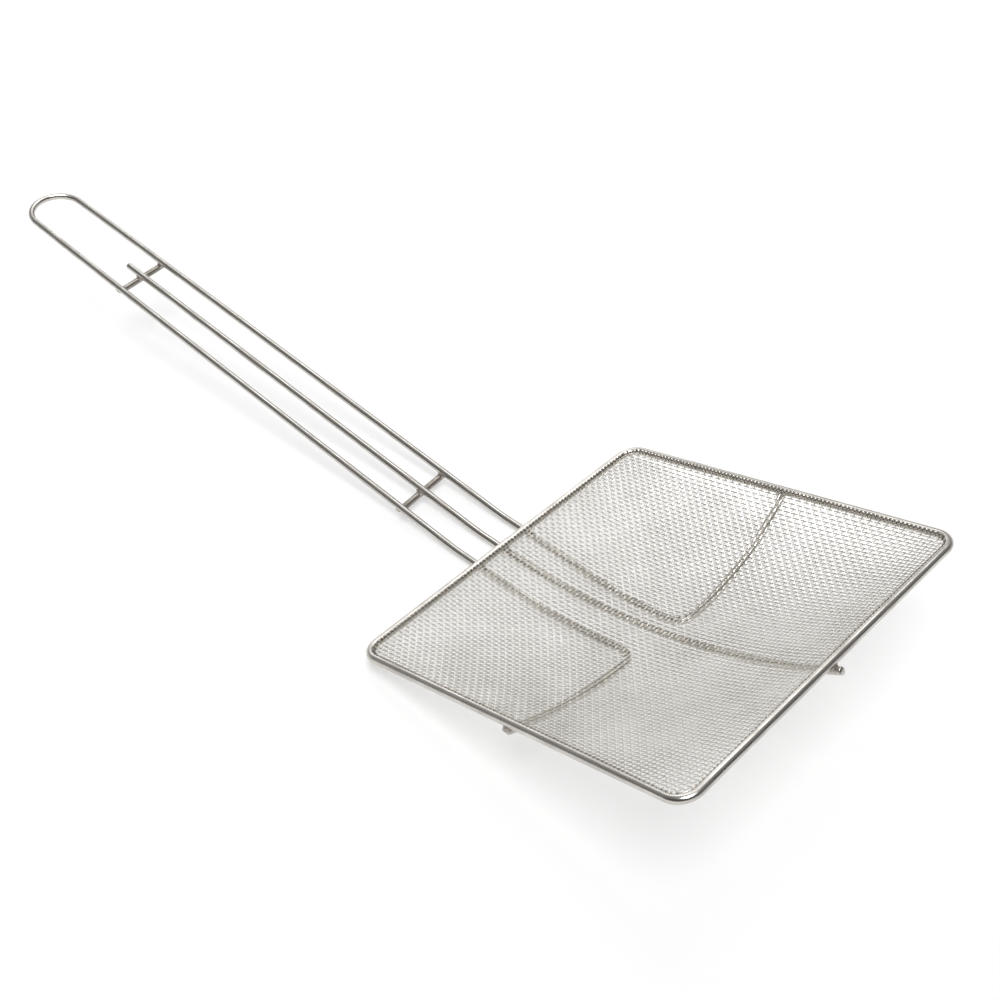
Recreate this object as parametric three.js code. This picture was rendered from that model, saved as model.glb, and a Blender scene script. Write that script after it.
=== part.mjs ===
// Fine mesh skimmer: a dished square of woven wire cloth in a wire rim, on a long handle of bent wire.
// Millimetres, +Z up. The handle points towards -X. The skimmer lies as it does on a table, on the three
// ribs under its mesh, with its far side raised.
import * as THREE from 'three';

// Rim: one wire bent into a square, its ends butted at the middle of the near side
const RIM_SPAN = 165; // between the wire's centres on opposite sides
const RIM_WIRE = 3.6;
const RIM_BEND_RADIUS = 8;

// Handle: a hairpin of wire with a third wire between its legs, which run on under the mesh as ribs
const HANDLE_WIRE = 3.2;
const HANDLE_LENGTH = 331; // along the handle, from the near side of the rim to the crown of the loop
const HANDLE_WIDTH = 28.5; // between the centres of the two legs, where they pass under the rim
const LOOP_WIDTH = 26.4; // likewise at the loop, as the legs close in a little on the way
const HANDLE_RISE = THREE.MathUtils.degToRad(23.3); // above the plane of the rim
const HANDLE_BEND_SETBACK = 14; // from the rim to the slight bend where the straight handle begins
const HANDLE_BEND_RADIUS = 60;
const CENTRE_WIRE_REACH = 259.5; // along the handle, to the centre wire's free end
const ARM_BEND_RADIUS = 6.5; // where each leg turns outwards under the middle of the mesh
const TOE_IN = 6; // the rib on the +Y side closes in on the centre wire by this much before it turns
const TOE_OUT = 1.8; // the rib on the -Y side moves away from it by this much
const TURN_PAST_MIDDLE = 5; // the +Y rib turns this far past the middle of the head
const ARM_END_PAST_RIM = 1; // cut ends of the arms, past the rim wire's centre
const CENTRE_END_PAST_RIM = 4.3; // the centre wire's end under the far side of the rim, likewise

// Crossbars under the handle wires
const CROSSBAR_WIRE = 3;
const CROSSBAR_SHORT_BY = 0.8; // each end stops this far inside a leg's centreline
const CROSSBAR_SKEW = 2; // a bar's end on the +Y side lies further from the rim by this much
const LOWER_CROSSBAR_AT = 52; // along the handle, from the rim
const UPPER_CROSSBAR_SETBACK = 9.5; // back from the centre wire's free end

// Mesh: the woven cloth is drawn as a net of flat strands with the cloth's own weight and outline
const DISH_SAG = 13.2; // how far the ribs dip between the rim and the middle of the head
const STRAND_THICKNESS = 0.6;
const STRAND_WIDTH = 2;
const STRANDS_EACH_WAY = 17;

// Welded pieces stand this far apart
const WELD_GAP = 0.3;

// Facets
const WIRE_SIDES = 12;
const RIB_STEPS = 10;
const ARM_STEPS = 5;
const BEND_STEPS = 6;
const LOOP_STEPS = 15; // odd, so that one flat lies across the crown of the loop
const RESTING_STEP = 1; // the step of the ribs, counted from the near side, that lies flat on the table

const rimHalf = RIM_SPAN / 2;
const rimRadius = RIM_WIRE / 2;
const wireRadius = HANDLE_WIRE / 2;
const legOffset = HANDLE_WIDTH / 2;
const loopRadius = LOOP_WIDTH / 2;
const loopCentre = HANDLE_LENGTH - loopRadius;
const upperCrossbarAt = CENTRE_WIRE_REACH - UPPER_CROSSBAR_SETBACK;

// The ribs hang a weld gap below the rim, measured square to the steeper, sideways ribs
const armSpan = rimHalf - legOffset;
const armSlope = Math.atan2(2 * DISH_SAG, armSpan);
const legSlope = Math.atan2(2 * DISH_SAG, rimHalf);
const ribDrop = (rimRadius + wireRadius + WELD_GAP) / Math.cos(armSlope);

// Share of the dish's full depth at a place on the head: flat across the handle's width, and a parabola
// from there to the sides and from the middle to the near and far sides
function dishShare(x, y, half) {
  const along = x / half;
  const across = Math.max(Math.abs(y) - legOffset, 0) / (half - legOffset);
  return (1 - along ** 2) * (1 - across ** 2);
}

function ribPoint(x, y) {
  return new THREE.Vector3(x, y, -ribDrop - DISH_SAG * dishShare(x, y, rimHalf));
}

// Centreline of a handle wire at a distance from the rim: straight on from the rib, a slight bend, straight
const handleBend = HANDLE_RISE - legSlope;
const bendLength = HANDLE_BEND_RADIUS * handleBend;

function handlePoint(distance, y) {
  const beforeBend = Math.min(distance, HANDLE_BEND_SETBACK);
  const inBend = THREE.MathUtils.clamp(distance - HANDLE_BEND_SETBACK, 0, bendLength);
  const afterBend = Math.max(distance - HANDLE_BEND_SETBACK - bendLength, 0);
  const turned = legSlope + inBend / HANDLE_BEND_RADIUS;
  const bendRun = HANDLE_BEND_RADIUS * (Math.sin(turned) - Math.sin(legSlope));
  const bendRise = HANDLE_BEND_RADIUS * (Math.cos(legSlope) - Math.cos(turned));
  const run = beforeBend * Math.cos(legSlope) + bendRun + afterBend * Math.cos(HANDLE_RISE);
  const rise = beforeBend * Math.sin(legSlope) + bendRise + afterBend * Math.sin(HANDLE_RISE);
  return new THREE.Vector3(-rimHalf - run, y, -ribDrop + rise);
}

// How far a leg lies from the middle of the handle, at a distance from the rim
function legAt(distance) {
  return THREE.MathUtils.lerp(legOffset, loopRadius, distance / loopCentre);
}

// A wire's centreline as the places where its section is set, close together only where it bends
class WirePath extends THREE.Curve {
  constructor(stations) {
    super();
    this.stations = stations;
  }

  getPointAt(share, target = new THREE.Vector3()) {
    return target.copy(this.stations[Math.round(share * (this.stations.length - 1))]);
  }

  getTangentAt(share, target = new THREE.Vector3()) {
    const index = Math.round(share * (this.stations.length - 1));
    const here = this.stations[index];
    const before = this.stations[Math.max(index - 1, 0)];
    const after = this.stations[Math.min(index + 1, this.stations.length - 1)];
    const arriving = here.clone().sub(before).normalize();
    const leaving = after.clone().sub(here).normalize();
    return target.copy(arriving).add(leaving).normalize();
  }
}

// Wire of round section, with a flat facet above, below and to either side
function wireGeometry(stations, diameter) {
  const section = Array.from({ length: WIRE_SIDES }, (_, side) => {
    const angle = (2 * Math.PI * (side + 0.5)) / WIRE_SIDES;
    return new THREE.Vector2(Math.cos(angle), Math.sin(angle)).multiplyScalar(diameter / 2);
  });
  const extrudePath = new WirePath(stations);
  return new THREE.ExtrudeGeometry(new THREE.Shape(section), { steps: stations.length - 1, extrudePath });
}

function platedWire(name, geometry) {
  const material = new THREE.MeshStandardMaterial({ color: '#a9a398', metalness: 1, roughness: 0.22 });
  const mesh = new THREE.Mesh(geometry, material);
  mesh.name = name;
  return mesh;
}

// Even shares from 0 to 1
function shares(steps) {
  return Array.from({ length: steps + 1 }, (_, step) => step / steps);
}

// Rim wire: from one side of the butt weld round the four corners to its other side
function rimStations() {
  const cornerCentre = rimHalf - RIM_BEND_RADIUS;
  const corners = [[-1, -1], [1, -1], [1, 1], [-1, 1]];
  const stations = corners.flatMap(([sideX, sideY], corner) => shares(BEND_STEPS).map((share) => {
    const angle = (Math.PI / 2) * (corner + 2 + share);
    const x = sideX * cornerCentre + RIM_BEND_RADIUS * Math.cos(angle);
    const y = sideY * cornerCentre + RIM_BEND_RADIUS * Math.sin(angle);
    return new THREE.Vector3(x, y, 0);
  }));
  const firstEnd = new THREE.Vector3(-rimHalf, -WELD_GAP / 2, 0);
  const lastEnd = new THREE.Vector3(-rimHalf, WELD_GAP / 2, 0);
  return [firstEnd, ...stations, lastEnd];
}

// Ribs step evenly across the head, so the same step of all three lies flat on the table
const ribXs = shares(RIB_STEPS).map((share) => THREE.MathUtils.lerp(-rimHalf, rimHalf, share));

// The slight bend of a handle wire, outwards from the head: a leg on side -1 or 1, or the centre wire on 0
function handleBendStations(side) {
  return shares(BEND_STEPS / 2).map((share) => {
    const distance = HANDLE_BEND_SETBACK + share * bendLength;
    return handlePoint(distance, side * legAt(distance));
  });
}

// Half of the hairpin, from the end of its arm under the side of the rim to the crown of the loop
function halfHairpin(side, toeIn, turnAt) {
  const turnOffset = legOffset - toeIn;
  const ribEnd = turnAt - ARM_BEND_RADIUS;
  const arm = shares(ARM_STEPS).map((share) => {
    const y = THREE.MathUtils.lerp(rimHalf, turnOffset + ARM_BEND_RADIUS, share);
    return ribPoint(share * turnAt, side * y);
  });
  const bend = shares(BEND_STEPS).slice(1).map((share) => {
    const angle = (share * Math.PI) / 2;
    const x = ribEnd + ARM_BEND_RADIUS * Math.cos(angle);
    const y = turnOffset + ARM_BEND_RADIUS * (1 - Math.sin(angle));
    return ribPoint(x, side * y);
  });
  const rib = ribXs.filter((x) => x < ribEnd).reverse().map((x) => {
    const y = THREE.MathUtils.mapLinear(x, -rimHalf, ribEnd, legOffset, turnOffset);
    return ribPoint(x, side * y);
  });
  const loop = Array.from({ length: (LOOP_STEPS + 1) / 2 }, (_, step) => {
    const angle = (step * Math.PI) / LOOP_STEPS;
    return handlePoint(loopCentre + loopRadius * Math.sin(angle), side * loopRadius * Math.cos(angle));
  });
  const cutEnd = ribPoint(0, side * (rimHalf + ARM_END_PAST_RIM));
  return [cutEnd, ...arm, ...bend, ...rib, ...handleBendStations(side), ...loop];
}

function hairpinStations() {
  return [...halfHairpin(-1, -TOE_OUT, 0), ...halfHairpin(1, TOE_IN, TURN_PAST_MIDDLE).reverse()];
}

// Centre wire: from its end past the far side of the rim, along the dish and up the handle
function centreStations() {
  const rib = ribXs.map((x) => ribPoint(x, 0)).reverse();
  const farEnd = ribPoint(rimHalf + CENTRE_END_PAST_RIM, 0);
  return [farEnd, ...rib, ...handleBendStations(0), handlePoint(CENTRE_WIRE_REACH, 0)];
}

// Crossbar: a straight wire, a little askew across the underside of the handle
function crossbarStations(distance) {
  const below = wireRadius + CROSSBAR_WIRE / 2 + WELD_GAP;
  const drop = new THREE.Vector3(-Math.sin(HANDLE_RISE), 0, -Math.cos(HANDLE_RISE)).multiplyScalar(below);
  const halfLength = legAt(distance) - CROSSBAR_SHORT_BY;
  return [-1, 1].map((side) => {
    const end = handlePoint(distance + (side * CROSSBAR_SKEW) / 2, side * halfLength);
    return end.add(drop);
  });
}

// Mesh: its edge follows the inside of the rim, and its middle lies on the ribs
const screenHalf = rimHalf - rimRadius - WELD_GAP;
const screenCorner = Math.max(RIM_BEND_RADIUS - rimRadius - WELD_GAP, 0);
const screenDepth = ribDrop + DISH_SAG - wireRadius - WELD_GAP - STRAND_THICKNESS / 2;

// A place in the flat net, with the corners of each ring of strands rounded like the rim's, less so inwards
function screenPoint(flatX, flatY) {
  const ring = Math.max(Math.abs(flatX), Math.abs(flatY)) / screenHalf;
  const radius = screenCorner * ring ** 4;
  const straight = ring * screenHalf - radius;
  const cornerX = Math.max(Math.abs(flatX) - straight, 0);
  const cornerY = Math.max(Math.abs(flatY) - straight, 0);
  const pull = Math.min(radius / Math.hypot(cornerX, cornerY) || 1, 1);
  const x = Math.sign(flatX) * (Math.abs(flatX) - cornerX * (1 - pull));
  const y = Math.sign(flatY) * (Math.abs(flatY) - cornerY * (1 - pull));
  return new THREE.Vector3(x, y, -screenDepth * dishShare(flatX, flatY, screenHalf));
}

// Net of strands both ways: cells of a grid alternate between strand and gap, and a cell is open where
// both its row and its column are gaps
function screenGeometry() {
  const pitch = (2 * screenHalf - STRAND_WIDTH) / (STRANDS_EACH_WAY - 1);
  const strandStarts = Array.from({ length: STRANDS_EACH_WAY }, (_, strand) => strand * pitch - screenHalf);
  const lines = strandStarts.flatMap((start) => [start, start + STRAND_WIDTH]);
  const positions = [];
  for (const lift of [STRAND_THICKNESS / 2, -STRAND_THICKNESS / 2]) {
    for (const flatY of lines) {
      for (const flatX of lines) {
        const point = screenPoint(flatX, flatY);
        positions.push(point.x, point.y, point.z + lift);
      }
    }
  }
  const cells = lines.length - 1;
  const underside = lines.length ** 2;
  const isStrand = (column, row) => {
    const inside = column >= 0 && row >= 0 && column < cells && row < cells;
    return inside && (column % 2 === 0 || row % 2 === 0);
  };
  const triangles = [];
  const addQuad = (a, b, c, d) => triangles.push(a, b, c, a, c, d);
  for (let row = 0; row < cells; row += 1) {
    for (let column = 0; column < cells; column += 1) {
      if (isStrand(column, row)) {
        const nearLeft = row * lines.length + column;
        const corners = [nearLeft, nearLeft + 1, nearLeft + 1 + lines.length, nearLeft + lines.length];
        const neighbours = [[column, row - 1], [column + 1, row], [column, row + 1], [column - 1, row]];
        addQuad(...corners);
        addQuad(...corners.map((corner) => corner + underside).reverse());
        neighbours.forEach(([nextColumn, nextRow], side) => {
          if (!isStrand(nextColumn, nextRow)) {
            const from = corners[side];
            const to = corners[(side + 1) % corners.length];
            addQuad(from, from + underside, to + underside, to);
          }
        });
      }
    }
  }
  const geometry = new THREE.BufferGeometry();
  geometry.setAttribute('position', new THREE.Float32BufferAttribute(positions, 3));
  geometry.setIndex(triangles);
  geometry.computeVertexNormals();
  return geometry;
}

function meshScreen() {
  const material = new THREE.MeshStandardMaterial({ color: '#bdb9b0', metalness: 1, roughness: 0.3 });
  const mesh = new THREE.Mesh(screenGeometry(), material);
  mesh.name = 'mesh_screen';
  return mesh;
}

// The head as it is welded, its rim level
const welded = new THREE.Group();
welded.add(
  platedWire('rim_wire', wireGeometry(rimStations(), RIM_WIRE)),
  platedWire('handle_wire', wireGeometry(hairpinStations(), HANDLE_WIRE)),
  platedWire('centre_wire', wireGeometry(centreStations(), HANDLE_WIRE)),
  platedWire('lower_crossbar', wireGeometry(crossbarStations(LOWER_CROSSBAR_AT), CROSSBAR_WIRE)),
  platedWire('upper_crossbar', wireGeometry(crossbarStations(upperCrossbarAt), CROSSBAR_WIRE)),
  meshScreen(),
);

// Lean it back until the resting step of the ribs is level, then stand it on z = 0, centred by its box
const restFrom = ribPoint(ribXs[RESTING_STEP - 1], 0);
const restTo = ribPoint(ribXs[RESTING_STEP], 0);
welded.rotation.y = -Math.atan2(restFrom.z - restTo.z, restTo.x - restFrom.x);

const skimmer = new THREE.Group();
skimmer.add(welded);
const box = new THREE.Box3().setFromObject(skimmer, true);
const middle = box.getCenter(new THREE.Vector3());
welded.position.set(-middle.x, -middle.y, -box.min.z);

export default skimmer;
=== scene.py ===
import math

import bmesh
import bpy
import numpy as np
from mathutils import Matrix, Vector, noise


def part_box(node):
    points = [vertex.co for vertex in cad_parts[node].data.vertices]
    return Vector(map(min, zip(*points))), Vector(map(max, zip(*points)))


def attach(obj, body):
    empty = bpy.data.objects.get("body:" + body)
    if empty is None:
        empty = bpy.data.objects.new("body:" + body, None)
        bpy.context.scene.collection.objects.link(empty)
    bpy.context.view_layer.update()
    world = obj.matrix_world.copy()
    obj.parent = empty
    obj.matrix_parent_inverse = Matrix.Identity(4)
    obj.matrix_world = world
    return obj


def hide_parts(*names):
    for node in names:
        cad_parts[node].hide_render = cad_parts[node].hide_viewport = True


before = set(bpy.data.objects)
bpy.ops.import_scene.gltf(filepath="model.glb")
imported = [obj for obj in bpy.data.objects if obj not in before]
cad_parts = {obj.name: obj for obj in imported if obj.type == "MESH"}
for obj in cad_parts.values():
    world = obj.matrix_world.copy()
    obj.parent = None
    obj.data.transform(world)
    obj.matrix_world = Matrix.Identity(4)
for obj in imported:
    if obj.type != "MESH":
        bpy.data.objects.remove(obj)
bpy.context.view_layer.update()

# Rim: one plated steel wire bent into a square with rounded corners. Its ends are butted and welded at the
# middle of the side towards the handle, where the weld leaves a bead. It carries the ribs and the mesh.
RIM_SPAN = 0.165
RIM_WIRE = 0.0036
RIM_BEND_RADIUS = 0.008
RIM_LEAN = math.radians(16.066)
SQUARE_CORNERS = ((-1, -1), (1, -1), (1, 1), (-1, 1))
BUTT_WELD_LENGTH = 0.0022
BUTT_WELD_SWELL = 0.09
BUTT_WELD_RIPPLE = 0.5
BUTT_WELD_RIPPLE_RATE = 5200
RIM_POINT_STEP = 0.0006
BEND_POINTS = 25
WIRE_SIDES = 24
SHARP_EDGE = math.radians(50)
PLATING_BRIGHT = (0.64, 0.615, 0.575, 1)
PLATING_DULLED = (0.47, 0.445, 0.41, 1)
PLATING_ROUGHNESS = (0.2, 0.36)
PLATING_PATCHES = 70
DIE_LINES_TO_A_METRE = 90
DIE_LINES_ROUND_WIRE = 14
DIE_LINE_TINT = 0.5
DIE_LINE_STRENGTH = 0.25
DIE_LINE_RELIEF = 0.00004

rim_half = RIM_SPAN / 2
rim_low, rim_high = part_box("rim_wire")

# The plane of the rim: wires are laid out in it as they are welded, and it leans back on the table
RIM_PLANE = Matrix.Translation((rim_low + rim_high) / 2) @ Matrix.Rotation(-RIM_LEAN, 4, "Y")


def drawn_plating():
    """Plating on drawn wire: dulled in patches, with faint die lines along the wire"""
    group = bpy.data.node_groups.new("drawn_plating", "ShaderNodeTree")
    for name, kind in (
        ("Bright", "NodeSocketColor"),
        ("Dulled", "NodeSocketColor"),
        ("Bright Roughness", "NodeSocketFloat"),
        ("Dulled Roughness", "NodeSocketFloat"),
        ("Patches", "NodeSocketFloat"),
    ):
        group.interface.new_socket(name, in_out="INPUT", socket_type=kind)
    for name, kind in (
        ("Colour", "NodeSocketColor"),
        ("Roughness", "NodeSocketFloat"),
        ("Height", "NodeSocketFloat"),
    ):
        group.interface.new_socket(name, in_out="OUTPUT", socket_type=kind)
    nodes, links = group.nodes, group.links
    given = nodes.new("NodeGroupInput")
    result = nodes.new("NodeGroupOutput")
    place = nodes.new("ShaderNodeTexCoord")

    patches = nodes.new("ShaderNodeTexNoise")
    patches.inputs["Detail"].default_value = 5
    patches.inputs["Roughness"].default_value = 0.6
    links.new(place.outputs["Object"], patches.inputs["Vector"])
    links.new(given.outputs["Patches"], patches.inputs["Scale"])
    dulled = nodes.new("ShaderNodeMapRange")
    dulled.inputs["From Min"].default_value = 0.38
    dulled.inputs["From Max"].default_value = 0.68
    links.new(patches.outputs["Fac"], dulled.inputs["Value"])

    along = nodes.new("ShaderNodeMapping")
    along.inputs["Scale"].default_value = (DIE_LINES_TO_A_METRE, DIE_LINES_ROUND_WIRE, 1)
    links.new(place.outputs["UV"], along.inputs["Vector"])
    die_lines = nodes.new("ShaderNodeTexNoise")
    die_lines.inputs["Scale"].default_value = 1
    die_lines.inputs["Detail"].default_value = 4
    links.new(along.outputs["Vector"], die_lines.inputs["Vector"])

    colour = nodes.new("ShaderNodeMix")
    colour.data_type = "RGBA"
    links.new(dulled.outputs["Result"], colour.inputs["Factor"])
    links.new(given.outputs["Bright"], colour.inputs["A"])
    links.new(given.outputs["Dulled"], colour.inputs["B"])
    lined = nodes.new("ShaderNodeMix")
    lined.data_type = "RGBA"
    lined.blend_type = "SOFT_LIGHT"
    lined.inputs["Factor"].default_value = DIE_LINE_TINT
    links.new(colour.outputs["Result"], lined.inputs["A"])
    links.new(die_lines.outputs["Fac"], lined.inputs["B"])
    links.new(lined.outputs["Result"], result.inputs["Colour"])

    roughness = nodes.new("ShaderNodeMix")
    links.new(dulled.outputs["Result"], roughness.inputs["Factor"])
    links.new(given.outputs["Bright Roughness"], roughness.inputs["A"])
    links.new(given.outputs["Dulled Roughness"], roughness.inputs["B"])
    links.new(roughness.outputs["Result"], result.inputs["Roughness"])
    links.new(die_lines.outputs["Fac"], result.inputs["Height"])
    return group


DRAWN_PLATING = drawn_plating()


def plated_steel(name, bright, dulled, roughness, patches, relief):
    """Plated wire: colours and roughness where bright and dulled, patches to a metre, depth of die lines"""
    material = bpy.data.materials.new(name)
    material.use_nodes = True
    nodes, links = material.node_tree.nodes, material.node_tree.links
    surface = nodes["Principled BSDF"]
    surface.inputs["Metallic"].default_value = 1
    plating = nodes.new("ShaderNodeGroup")
    plating.node_tree = DRAWN_PLATING
    plating.inputs["Bright"].default_value = bright
    plating.inputs["Dulled"].default_value = dulled
    plating.inputs["Bright Roughness"].default_value = roughness[0]
    plating.inputs["Dulled Roughness"].default_value = roughness[1]
    plating.inputs["Patches"].default_value = patches
    bump = nodes.new("ShaderNodeBump")
    bump.inputs["Strength"].default_value = DIE_LINE_STRENGTH
    bump.inputs["Distance"].default_value = relief
    links.new(plating.outputs["Colour"], surface.inputs["Base Color"])
    links.new(plating.outputs["Roughness"], surface.inputs["Roughness"])
    links.new(plating.outputs["Height"], bump.inputs["Height"])
    links.new(bump.outputs["Normal"], surface.inputs["Normal"])
    return material


def wire_rings(line, radii, sides, closed):
    """Rings of points round a centreline, the first of each on the wire's underside"""
    if closed:
        ahead = np.roll(line, -1, axis=0) - np.roll(line, 1, axis=0)
    else:
        ahead = np.gradient(line, axis=0)
    ahead /= np.linalg.norm(ahead, axis=1, keepdims=True)
    under = np.array((0.0, 0.0, -1.0)) + ahead * ahead[:, 2:]
    under /= np.linalg.norm(under, axis=1, keepdims=True)
    across = np.cross(ahead, under)
    turn = np.arange(sides) * 2 * np.pi / sides
    round_it = under[:, None] * np.cos(turn)[:, None] + across[:, None] * np.sin(turn)[:, None]
    return line[:, None] + round_it * radii[:, None, None]


def wire_piece(name, wires, sides, material, closed=False):
    """One piece of one or more wires, each given as its centreline and the radii along it"""
    points, faces, lengths_round = [], [], []
    for line, radii in wires:
        first = len(points)
        points.extend(wire_rings(line, radii, sides, closed).reshape(-1, 3))
        steps = np.linalg.norm(np.roll(line, -1, axis=0) - line, axis=1)
        run = np.concatenate(((0.0,), np.cumsum(steps)))
        for ring in range(len(line) if closed else len(line) - 1):
            here = first + ring * sides
            there = first + (ring + 1) % len(line) * sides
            for side in range(sides):
                after = (side + 1) % sides
                faces.append((here + side, here + after, there + after, there + side))
                low, high = side / sides, (side + 1) / sides
                lengths_round.append(
                    ((run[ring], low), (run[ring], high), (run[ring + 1], high), (run[ring + 1], low))
                )
        if not closed:
            last = first + (len(line) - 1) * sides
            faces.append(tuple(first + side for side in reversed(range(sides))))
            faces.append(tuple(last + side for side in range(sides)))
            lengths_round.append([(0.0, side / sides) for side in range(sides)])
            lengths_round.append([(run[-2], side / sides) for side in range(sides)])
    mesh = bpy.data.meshes.new(name)
    mesh.from_pydata([RIM_PLANE @ Vector(point) for point in points], [], faces)
    along_wire = mesh.uv_layers.new(name="along_wire")
    along_wire.data.foreach_set("uv", np.array([uv for face in lengths_round for uv in face]).ravel())
    mesh.shade_smooth()
    mesh.set_sharp_from_angle(angle=SHARP_EDGE)
    mesh.materials.append(material)
    piece = bpy.data.objects.new(name, mesh)
    bpy.context.collection.objects.link(piece)
    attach(piece, "root")
    return piece


def rim_line():
    """The rim's centreline, from the butt weld round the four corners"""
    corner = rim_half - RIM_BEND_RADIUS
    line = [(-rim_half, -y, 0.0) for y in np.arange(0, corner, RIM_POINT_STEP)]
    for bend, (side_x, side_y) in enumerate(SQUARE_CORNERS):
        for angle in np.linspace(math.pi * (1 + bend / 2), math.pi * (1.5 + bend / 2), BEND_POINTS):
            x = side_x * corner + RIM_BEND_RADIUS * math.cos(angle)
            y = side_y * corner + RIM_BEND_RADIUS * math.sin(angle)
            line.append((x, y, 0.0))
    back_to_weld = np.arange(corner - RIM_POINT_STEP, RIM_POINT_STEP / 2, -RIM_POINT_STEP)
    line.extend((-rim_half, y, 0.0) for y in back_to_weld)
    return np.array(line)


plated_wire = plated_steel(
    "plated_wire", PLATING_BRIGHT, PLATING_DULLED, PLATING_ROUGHNESS, PLATING_PATCHES, DIE_LINE_RELIEF
)
rim_course = rim_line()
from_weld = np.abs(rim_course[:, 1]) + np.abs(rim_course[:, 0] + rim_half)
weld_bead = BUTT_WELD_SWELL * np.exp(-((from_weld / BUTT_WELD_LENGTH) ** 2))
weld_bead *= 1 + BUTT_WELD_RIPPLE * np.sin(rim_course[:, 1] * BUTT_WELD_RIPPLE_RATE)
rim_radii = RIM_WIRE / 2 * (1 + weld_bead)
rim = wire_piece("rim", [(rim_course, rim_radii)], WIRE_SIDES, plated_wire, closed=True)
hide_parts("rim_wire")

# Handle hairpin: one long plated wire, bent to a round loop that the skimmer hangs by. Its two legs run on
# under the mesh as ribs, and at the middle of the head each is bent outwards and welded under the rim.
HANDLE_WIRE = 0.0032
HANDLE_LENGTH = 0.331
HANDLE_WIDTH = 0.0285
LOOP_WIDTH = 0.0264
HANDLE_RISE = math.radians(23.3)
HANDLE_BEND_SETBACK = 0.014
HANDLE_BEND_RADIUS = 0.06
ARM_BEND_RADIUS = 0.0065
TOE_IN = 0.006
TOE_OUT = 0.0018
TURN_PAST_MIDDLE = 0.005
ARM_END_PAST_RIM = 0.001
DISH_SAG = 0.0132
WELD_GAP = 0.0003
CUT_EDGE_RUN = (0, 0.03, 0.1, 0.22)
CUT_EDGE_FULLNESS = (0.8, 0.92, 0.985, 1)
ARM_POINTS = 50
ARM_BEND_POINTS = 17
RIB_POINTS = 60
LEG_POINTS = 200

leg_offset = HANDLE_WIDTH / 2
loop_radius = LOOP_WIDTH / 2
loop_centre = HANDLE_LENGTH - loop_radius
arm_slope = math.atan2(2 * DISH_SAG, rim_half - leg_offset)
leg_slope = math.atan2(2 * DISH_SAG, rim_half)
rib_drop = (RIM_WIRE / 2 + HANDLE_WIRE / 2 + WELD_GAP) / math.cos(arm_slope)
bend_length = HANDLE_BEND_RADIUS * (HANDLE_RISE - leg_slope)


def dish_share(x, y, half):
    """Share of the dish's depth: flat across the handle's width, curving up to the rim all round"""
    across = max(abs(y) - leg_offset, 0) / (half - leg_offset)
    return (1 - (x / half) ** 2) * (1 - across**2)


def rib_point(x, y):
    """A place on a rib's centreline, under the dish"""
    return (x, y, -rib_drop - DISH_SAG * dish_share(x, y, rim_half))


def handle_point(distance, y):
    """A place on the handle: straight on from the rib, a slight bend, then straight to the loop"""
    before = min(distance, HANDLE_BEND_SETBACK)
    bent = min(max(distance - HANDLE_BEND_SETBACK, 0), bend_length)
    beyond = max(distance - HANDLE_BEND_SETBACK - bend_length, 0)
    slope = leg_slope + bent / HANDLE_BEND_RADIUS
    run = before * math.cos(leg_slope) + beyond * math.cos(HANDLE_RISE)
    run += HANDLE_BEND_RADIUS * (math.sin(slope) - math.sin(leg_slope))
    rise = before * math.sin(leg_slope) + beyond * math.sin(HANDLE_RISE)
    rise += HANDLE_BEND_RADIUS * (math.cos(leg_slope) - math.cos(slope))
    return (-rim_half - run, y, -rib_drop + rise)


def leg_at(distance):
    """How far a leg lies from the middle of the handle: the two close in a little before the loop"""
    return leg_offset + (loop_radius - leg_offset) * (distance / loop_centre) ** 3


def cropped_wire(line, diameter):
    """Centreline and radii of a wire whose two cut ends have a worn, slightly rounded edge"""
    line = np.array(line)
    radii = np.full(len(line), diameter / 2)
    for _ in range(2):
        ahead = line[1] - line[0]
        ahead /= np.linalg.norm(ahead)
        edge = [line[0] + ahead * diameter * share for share in CUT_EDGE_RUN]
        line = np.concatenate((edge, line[1:]))[::-1]
        radii = np.concatenate((diameter / 2 * np.array(CUT_EDGE_FULLNESS), radii[1:]))[::-1]
    return line, radii


def half_hairpin(side, toe_in, turn_at):
    """From the cut end under the side of the rim, along arm, rib and leg to the crown of the loop"""
    turn_offset = leg_offset - toe_in
    rib_end = turn_at - ARM_BEND_RADIUS
    cut_end = rim_half + ARM_END_PAST_RIM
    arm_length = cut_end - turn_offset - ARM_BEND_RADIUS
    arm = []
    for share in np.linspace(0, 1, ARM_POINTS):
        y = cut_end - arm_length * share
        arm.append(rib_point(turn_at * share * (2 - share), side * y))
    bend = []
    for angle in np.linspace(0, math.pi / 2, ARM_BEND_POINTS)[1:]:
        x = rib_end + ARM_BEND_RADIUS * math.cos(angle)
        y = turn_offset + ARM_BEND_RADIUS * (1 - math.sin(angle))
        bend.append(rib_point(x, side * y))
    rib = []
    for share in np.linspace(0, 1, RIB_POINTS)[1:]:
        x = rib_end - share * (rim_half + rib_end)
        y = turn_offset + toe_in * share**2 * (3 - 2 * share)
        rib.append(rib_point(x, side * y))
    leg = []
    for distance in np.linspace(0, loop_centre, LEG_POINTS)[1:]:
        leg.append(handle_point(distance, side * leg_at(distance)))
    loop = []
    for angle in np.linspace(0, math.pi / 2, BEND_POINTS)[1:]:
        distance = loop_centre + loop_radius * math.sin(angle)
        loop.append(handle_point(distance, side * loop_radius * math.cos(angle)))
    return arm + bend + rib + leg + loop


hairpin_course = half_hairpin(-1, -TOE_OUT, 0) + half_hairpin(1, TOE_IN, TURN_PAST_MIDDLE)[-2::-1]
hairpin_wire = cropped_wire(hairpin_course, HANDLE_WIRE)
hairpin = wire_piece("handle_hairpin", [hairpin_wire], WIRE_SIDES, plated_wire)
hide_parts("handle_wire")

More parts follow.
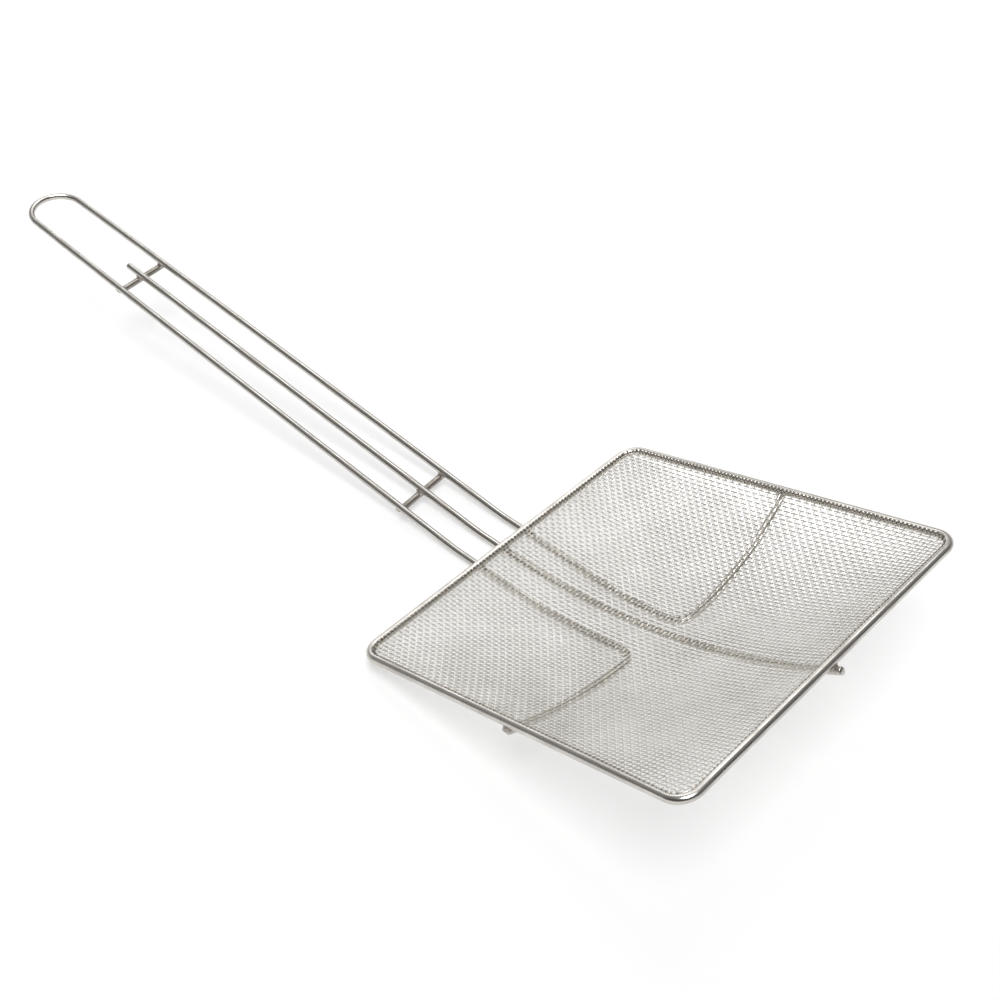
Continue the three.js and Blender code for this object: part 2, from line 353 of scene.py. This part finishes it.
# Centre wire: a single plated wire between the legs. It starts with a free cut end short of the loop, runs
# down the handle, passes under the near side of the rim, carries the mesh and ends under the far side.
CENTRE_WIRE_REACH = 0.2595
CENTRE_END_PAST_RIM = 0.0043
CENTRE_RIB_POINTS = 120
CENTRE_LEG_POINTS = 160

under_mesh = np.linspace(rim_half + CENTRE_END_PAST_RIM, -rim_half, CENTRE_RIB_POINTS)
up_handle = np.linspace(0, CENTRE_WIRE_REACH, CENTRE_LEG_POINTS)[1:]
centre_course = [rib_point(x, 0) for x in under_mesh]
centre_course += [handle_point(distance, 0) for distance in up_handle]
centre_cropped = cropped_wire(centre_course, HANDLE_WIRE)
centre_wire = wire_piece("centre_wire_round", [centre_cropped], WIRE_SIDES, plated_wire)
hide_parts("centre_wire")

# Crossbars: two short pieces of plated wire, cropped from a straight length. Each is pressed against the
# underside of the three handle wires, a little askew, and spot-welded to all of them. Their plating is
# given darker and rougher than that of the other wires.
CROSSBAR_WIRE = 0.003
CROSSBAR_SHORT_BY = {-1: 0.002, 1: 0.0008}
CROSSBAR_SKEW = 0.002
CROSSBAR_PRESSED_IN = 0.0007
CROSSBARS = {"lower_crossbar": 0.052, "upper_crossbar": 0.25}
# Plating of the crossbars: darker and rougher than the plating of the other wires
BAR_PLATING_BRIGHT = (0.36, 0.335, 0.3, 1)
BAR_PLATING_DULLED = (0.24, 0.22, 0.19, 1)
BAR_PLATING_ROUGHNESS = (0.38, 0.55)
BAR_PLATING_PATCHES = 160
CROSSBAR_POINTS = 24

under_handle = Vector((-math.sin(HANDLE_RISE), 0, -math.cos(HANDLE_RISE)))
bar_drop = under_handle * (HANDLE_WIRE / 2 + CROSSBAR_WIRE / 2 - CROSSBAR_PRESSED_IN)


def bar_point(distance, share):
    """A place on a crossbar's centreline, from -1 at its end on the -Y side to 1"""
    along = distance + share * CROSSBAR_SKEW / 2
    short_by = CROSSBAR_SHORT_BY[1 if share > 0 else -1]
    return Vector(handle_point(along, share * (leg_at(distance) - short_by))) + bar_drop


darker_bar_wire = plated_steel(
    "darker_bar_wire", BAR_PLATING_BRIGHT, BAR_PLATING_DULLED, BAR_PLATING_ROUGHNESS, BAR_PLATING_PATCHES, DIE_LINE_RELIEF
)
for node, distance in CROSSBARS.items():
    bar_course = [bar_point(distance, share) for share in np.linspace(-1, 1, CROSSBAR_POINTS)]
    bar_wire = cropped_wire(bar_course, CROSSBAR_WIRE)
    crossbar = wire_piece(node + "_round", [bar_wire], WIRE_SIDES, darker_bar_wire)
    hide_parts(node)

# Spot welds: where two wires cross, the metal has flowed together into a small hollow fillet, a little
# darker than the wire. Six hold the ribs and handle under the rim, and six hold the two crossbars.
WELD_REACH = 0.0026
WELD_FILLET = 0.0018
WELD_SUNK = 0.00003
WELD_UNEVENNESS = 0.35
WELD_LUMPS = 1.7
WELD_LUMPS_DIFFER = 900
WELD_BALL_DETAIL = 3
WELD_STEP = 0.00004
BAR_WELD_AT = 0.97
WELD_BRIGHT = (0.46, 0.43, 0.385, 1)
WELD_DULLED = (0.27, 0.24, 0.2, 1)
WELD_ROUGHNESS = (0.3, 0.5)
WELD_PATCHES = 500
WELD_RELIEF = 0.00006


def from_axis(point, axis_point, axis):
    """How far a point lies from a wire's centreline"""
    return (point - axis_point).cross(axis).length


def weld_fillet(shaped, first, second):
    """Metal that joins two crossing wires, each given by a point, a direction and a radius"""
    middle = (first[0] + second[0]) / 2
    ball = bmesh.ops.create_icosphere(shaped, subdivisions=WELD_BALL_DETAIL, radius=1)
    for vert in ball["verts"]:
        outward = vert.co.normalized()
        lump = noise.noise(outward * WELD_LUMPS + middle * WELD_LUMPS_DIFFER)
        fillet = WELD_FILLET * (1 + WELD_UNEVENNESS * lump)
        reach = 0.0
        while reach < WELD_REACH:
            point = middle + outward * reach
            gap_first = from_axis(point, first[0], first[1]) - first[2]
            gap_second = from_axis(point, second[0], second[1]) - second[2]
            # Where both wires are about as near, the metal fills the hollow between them
            share = max(fillet - abs(gap_first - gap_second), 0) / fillet
            if min(gap_first, gap_second) - share**2 * fillet / 4 + WELD_SUNK > 0:
                break
            reach += WELD_STEP
        vert.co = RIM_PLANE @ (middle + outward * reach)


def weld_piece(name, crossings, material):
    """One piece of several welds, each between the two wires of a crossing"""
    shaped = bmesh.new()
    for first, second in crossings:
        weld_fillet(shaped, first, second)
    mesh = bpy.data.meshes.new(name)
    shaped.to_mesh(mesh)
    shaped.free()
    mesh.shade_smooth()
    mesh.materials.append(material)
    piece = bpy.data.objects.new(name, mesh)
    bpy.context.collection.objects.link(piece)
    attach(piece, "root")


def direction(x, y, z):
    return Vector((x, y, z)).normalized()


along_leg = direction(math.cos(leg_slope), 0, -math.sin(leg_slope))
rim_crossings = []
for y in (-leg_offset, 0, leg_offset):
    near_rim = (Vector((-rim_half, y, 0)), direction(0, 1, 0), RIM_WIRE / 2)
    leg = (Vector(rib_point(-rim_half, y)), along_leg, HANDLE_WIRE / 2)
    rim_crossings.append((near_rim, leg))
far_rim = (Vector((rim_half, 0, 0)), direction(0, 1, 0), RIM_WIRE / 2)
along_far_rib = direction(math.cos(leg_slope), 0, math.sin(leg_slope))
far_rib = (Vector(rib_point(rim_half, 0)), along_far_rib, HANDLE_WIRE / 2)
rim_crossings.append((far_rim, far_rib))
for side in (-1, 1):
    side_rim = (Vector((0, side * rim_half, 0)), direction(1, 0, 0), RIM_WIRE / 2)
    along_arm = direction(0, side * math.cos(arm_slope), math.sin(arm_slope))
    arm = (Vector(rib_point(0, side * rim_half)), along_arm, HANDLE_WIRE / 2)
    rim_crossings.append((side_rim, arm))

along_handle = direction(-math.cos(HANDLE_RISE), 0, math.sin(HANDLE_RISE))
bar_crossings = []
for distance in CROSSBARS.values():
    along_bar = (bar_point(distance, 1) - bar_point(distance, -1)).normalized()
    for side in (-1, 0, 1):
        bar = (bar_point(distance, side * BAR_WELD_AT), along_bar, CROSSBAR_WIRE / 2)
        on_wire = Vector(handle_point(distance, side * leg_at(distance)))
        bar_crossings.append((bar, (on_wire, along_handle, HANDLE_WIRE / 2)))

welded_steel = plated_steel(
    "welded_steel", WELD_BRIGHT, WELD_DULLED, WELD_ROUGHNESS, WELD_PATCHES, WELD_RELIEF
)
weld_piece("rim_welds", rim_crossings, welded_steel)
weld_piece("crossbar_welds", bar_crossings, welded_steel)

# Mesh: a square of plain-woven bright steel wire, crimped over and under at every crossing and pressed into
# a shallow dish. It lies on the ribs, and its edge is turned up and welded to the inner side of the rim.
MESH_WIRE = 0.0005
MESH_PITCH = 0.0019
MESH_WIRES = 85
MESH_HALF = 0.0806
MESH_EDGE_LEVEL = -0.00075
MESH_BRIGHT = (0.76, 0.74, 0.695, 1)
MESH_DULLED = (0.58, 0.556, 0.507, 1)
MESH_ROUGHNESS = (0.28, 0.42)
MESH_PATCHES = 45
MESH_RELIEF = 0.00001
MESH_WIRE_SIDES = 6
TURNED_UP_ANGLES = [math.radians(angle) for angle in (-14, 12, 38, 60)]
SLOPE_STEP = 0.0001

mesh_corner = MESH_HALF - rim_half + RIM_BEND_RADIUS
mesh_straight = MESH_HALF - mesh_corner
mesh_middle_level = rib_point(0, 0)[2] + HANDLE_WIRE / 2 + MESH_WIRE
mesh_depth = MESH_EDGE_LEVEL - mesh_middle_level


def mesh_reach(offset):
    """How far a wire runs to either side, at its distance from the middle of the head"""
    in_corner = max(abs(offset) - mesh_straight, 0)
    return mesh_straight + math.sqrt(mesh_corner**2 - in_corner**2)


def mesh_point(x, y, lift):
    """A place on the dish, lifted square to it"""
    here = dish_share(x, y, MESH_HALF)
    slope_x = mesh_depth * (dish_share(x + SLOPE_STEP, y, MESH_HALF) - here) / SLOPE_STEP
    slope_y = mesh_depth * (dish_share(x, y + SLOPE_STEP, MESH_HALF) - here) / SLOPE_STEP
    square = Vector((slope_x, slope_y, 1)).normalized()
    return Vector((x, y, MESH_EDGE_LEVEL - mesh_depth * here)) + square * lift


def turned_up_end(x, y):
    """The end of a wire, from the edge of the dish up the inner side of the rim"""
    inner_x = np.clip(x, -mesh_straight, mesh_straight)
    inner_y = np.clip(y, -mesh_straight, mesh_straight)
    outward = (Vector((x, y, 0)) - Vector((inner_x, inner_y, 0))).normalized()
    round_rim = RIM_WIRE / 2 + MESH_WIRE / 2
    end = []
    for angle in TURNED_UP_ANGLES:
        out = rim_half - MESH_HALF - round_rim * math.cos(angle)
        end.append(Vector((x, y, round_rim * math.sin(angle))) + outward * out)
    return end


def woven_wires(runs_along_x):
    """Centrelines of all the wires that run one way, bent over and under those that cross them"""
    wires = []
    for wire in range(MESH_WIRES):
        offset = (wire - (MESH_WIRES - 1) / 2) * MESH_PITCH
        reach = mesh_reach(offset)
        first_half_step = math.ceil(-2 * reach / MESH_PITCH)
        line = []
        for half_step in range(first_half_step, 1 - first_half_step):
            along = half_step * MESH_PITCH / 2
            crossing = along / MESH_PITCH + (MESH_WIRES - 1) / 2
            over = (-1) ** wire * math.cos(math.pi * crossing) * (1 if runs_along_x else -1)
            x, y = (along, offset) if runs_along_x else (offset, along)
            line.append(mesh_point(x, y, over * MESH_WIRE / 2))
        near, far = [(end, offset) if runs_along_x else (offset, end) for end in (-reach, reach)]
        line = turned_up_end(*near)[::-1] + line + turned_up_end(*far)
        wires.append((np.array(line), np.full(len(line), MESH_WIRE / 2)))
    return wires


woven_steel = plated_steel(
    "woven_steel", MESH_BRIGHT, MESH_DULLED, MESH_ROUGHNESS, MESH_PATCHES, MESH_RELIEF
)
for name, runs_along_x in (("mesh_lengthwise_wires", True), ("mesh_crosswise_wires", False)):
    woven = wire_piece(name, woven_wires(runs_along_x), MESH_WIRE_SIDES, woven_steel)
    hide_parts("mesh_screen")

# Table: a plain white board that the skimmer lies on, so wide that it runs to the horizon. Half of its white
# is a glow of its own, so that it is white as far as it shows, and the skimmer's shadow still falls on it.
TABLE_SIZE = 80
TABLE_LEVEL = -0.0002
TABLE_WHITE = (0.95, 0.95, 0.95, 1)
TABLE_GLOW = 0.5

table_mesh = bpy.data.meshes.new("table")
table_edge = TABLE_SIZE / 2
table_corners = [(x * table_edge, y * table_edge, TABLE_LEVEL) for x, y in SQUARE_CORNERS]
table_mesh.from_pydata(table_corners, [], [(0, 1, 2, 3)])
table = bpy.data.objects.new("table", table_mesh)
bpy.context.collection.objects.link(table)


def seen_in_picture(nodes, links):
    """1 for rays that show in the picture: seen directly, mirrored in metal or through glass"""
    seen_by = nodes.new("ShaderNodeLightPath")
    seen = nodes.new("ShaderNodeMath")
    seen.operation = "MAXIMUM"
    links.new(seen_by.outputs["Is Camera Ray"], seen.inputs[0])
    links.new(seen_by.outputs["Is Glossy Ray"], seen.inputs[1])
    seen_through = nodes.new("ShaderNodeMath")
    seen_through.operation = "MAXIMUM"
    links.new(seen.outputs["Value"], seen_through.inputs[0])
    links.new(seen_by.outputs["Is Transmission Ray"], seen_through.inputs[1])
    return seen_through.outputs["Value"]


board = bpy.data.materials.new("white_board")
board.use_nodes = True
board_nodes, board_links = board.node_tree.nodes, board.node_tree.links
board_surface = board_nodes["Principled BSDF"]
board_surface.inputs["Base Color"].default_value = TABLE_WHITE
board_surface.inputs["Roughness"].default_value = 0.9
board_surface.inputs["Specular IOR Level"].default_value = 0
board_glow = board_nodes.new("ShaderNodeEmission")
board_glow.inputs["Color"].default_value = (1, 1, 1, 1)
board_glow.inputs["Strength"].default_value = 1
glow_share = board_nodes.new("ShaderNodeMath")
glow_share.operation = "MULTIPLY"
glow_share.inputs[1].default_value = TABLE_GLOW
board_links.new(seen_in_picture(board_nodes, board_links), glow_share.inputs[0])
board_mix = board_nodes.new("ShaderNodeMixShader")
board_links.new(glow_share.outputs["Value"], board_mix.inputs["Fac"])
board_links.new(board_surface.outputs["BSDF"], board_mix.inputs[1])
board_links.new(board_glow.outputs["Emission"], board_mix.inputs[2])
board_links.new(board_mix.outputs["Shader"], board_nodes["Material Output"].inputs["Surface"])
table_mesh.materials.append(board)

# Light: an even light from high above makes the table white. A soft lamp panel hangs over the far side of the
# handle, and a dimmer one stands low beyond the loop. The wires are bright where they show the panels and
# dark where they show the room, which is dim but for a low white backdrop all round.
OVERHEAD_FROM = Vector((0.25, -0.2, 1))
OVERHEAD_LEVEL = 2.4
OVERHEAD_SPREAD = math.radians(35)
FAR_PANEL_PLACE = Vector((-0.45, 0.65, 1))
FAR_PANEL_LIT = Vector((-0.45, 0.65, 0))
FAR_PANEL_SIZE = (1.1, 0.8)
FAR_PANEL_WATTS = 5.16
SIDE_PANEL_PLACE = Vector((-1.74, 1.13, 0.55))
SIDE_PANEL_LIT = Vector((0.15, 0, 0.02))
SIDE_PANEL_SIZE = (0.9, 1.1)
SIDE_PANEL_WATTS = 3.4
ROOM_BRIGHT_SIDE = Vector((-0.6, 0.5, 0.2))
ROOM_BRIGHT_LEVEL = 0.48
ROOM_DARK_LEVEL = 0.08
ROOM_DARK_FROM = -0.2
BACKDROP_WHITE_TO = math.radians(3.2)
BACKDROP_FADED_AT = math.radians(4.5)

overhead_light = bpy.data.lights.new("overhead", "SUN")
overhead_light.energy = OVERHEAD_LEVEL
overhead_light.angle = OVERHEAD_SPREAD
overhead = bpy.data.objects.new("overhead", overhead_light)
overhead.rotation_euler = OVERHEAD_FROM.to_track_quat("Z", "Y").to_euler()
bpy.context.collection.objects.link(overhead)


def lamp_panel(name, place, lit_point, size, watts):
    """A rectangular lamp that faces a point"""
    light = bpy.data.lights.new(name, "AREA")
    light.shape = "RECTANGLE"
    light.size, light.size_y = size
    light.energy = watts
    panel = bpy.data.objects.new(name, light)
    panel.location = place
    panel.rotation_euler = (place - lit_point).to_track_quat("Z", "Y").to_euler()
    bpy.context.collection.objects.link(panel)


lamp_panel("far_panel", FAR_PANEL_PLACE, FAR_PANEL_LIT, FAR_PANEL_SIZE, FAR_PANEL_WATTS)
lamp_panel("side_panel", SIDE_PANEL_PLACE, SIDE_PANEL_LIT, SIDE_PANEL_SIZE, SIDE_PANEL_WATTS)

room = bpy.data.worlds.new("room")
room.use_nodes = True
bpy.context.scene.world = room
room_nodes, room_links = room.node_tree.nodes, room.node_tree.links
room_place = room_nodes.new("ShaderNodeTexCoord")
room_side = room_nodes.new("ShaderNodeVectorMath")
room_side.operation = "DOT_PRODUCT"
room_side.inputs[1].default_value = ROOM_BRIGHT_SIDE.normalized()
room_light = room_nodes.new("ShaderNodeMapRange")
room_light.inputs["From Min"].default_value = ROOM_DARK_FROM
room_light.inputs["To Min"].default_value = ROOM_DARK_LEVEL
room_light.inputs["To Max"].default_value = ROOM_BRIGHT_LEVEL
room_nodes["Background"].inputs["Color"].default_value = (1, 1, 1, 1)
room_links.new(room_place.outputs["Generated"], room_side.inputs[0])
room_links.new(room_side.outputs["Value"], room_light.inputs["Value"])

room_direction = room_nodes.new("ShaderNodeSeparateXYZ")
room_links.new(room_place.outputs["Generated"], room_direction.inputs["Vector"])
backdrop = room_nodes.new("ShaderNodeMapRange")
backdrop.inputs["From Min"].default_value = math.sin(BACKDROP_FADED_AT)
backdrop.inputs["From Max"].default_value = math.sin(BACKDROP_WHITE_TO)
room_links.new(room_direction.outputs["Z"], backdrop.inputs["Value"])
backdrop_share = room_nodes.new("ShaderNodeMath")
backdrop_share.operation = "MULTIPLY"
room_links.new(backdrop.outputs["Result"], backdrop_share.inputs[0])
room_links.new(seen_in_picture(room_nodes, room_links), backdrop_share.inputs[1])
room_level = room_nodes.new("ShaderNodeMix")
room_links.new(backdrop_share.outputs["Value"], room_level.inputs["Factor"])
room_links.new(room_light.outputs["Result"], room_level.inputs["A"])
room_level.inputs["B"].default_value = 1
room_links.new(room_level.outputs["Result"], room_nodes["Background"].inputs["Strength"])

# Camera: above and beyond the nearest corner of the head, where it stood when the photograph was taken. It
# looks down across the head towards the loop, and is tilted sideways by nearly two degrees.
CAMERA_PLACE = Vector((0.411749, -0.331151, 0.463439))
CAMERA_AHEAD = Vector((-0.51916, 0.51856, -0.67938))
CAMERA_UP = Vector((-0.45031, 0.50966, 0.73312))
CAMERA_LENS = 55.57

camera_data = bpy.data.cameras.new("camera")
camera_data.sensor_width = 36
camera_data.lens = CAMERA_LENS
camera_data.clip_start = 0.01
camera = bpy.data.objects.new("camera", camera_data)
camera_right = CAMERA_AHEAD.cross(CAMERA_UP).normalized()
camera_turn = Matrix((camera_right, CAMERA_UP, -CAMERA_AHEAD)).transposed()
camera.matrix_world = Matrix.Translation(CAMERA_PLACE) @ camera_turn.to_4x4()
bpy.context.collection.objects.link(camera)
bpy.context.scene.camera = camera

bpy.context.scene.view_settings.view_transform = "Standard"
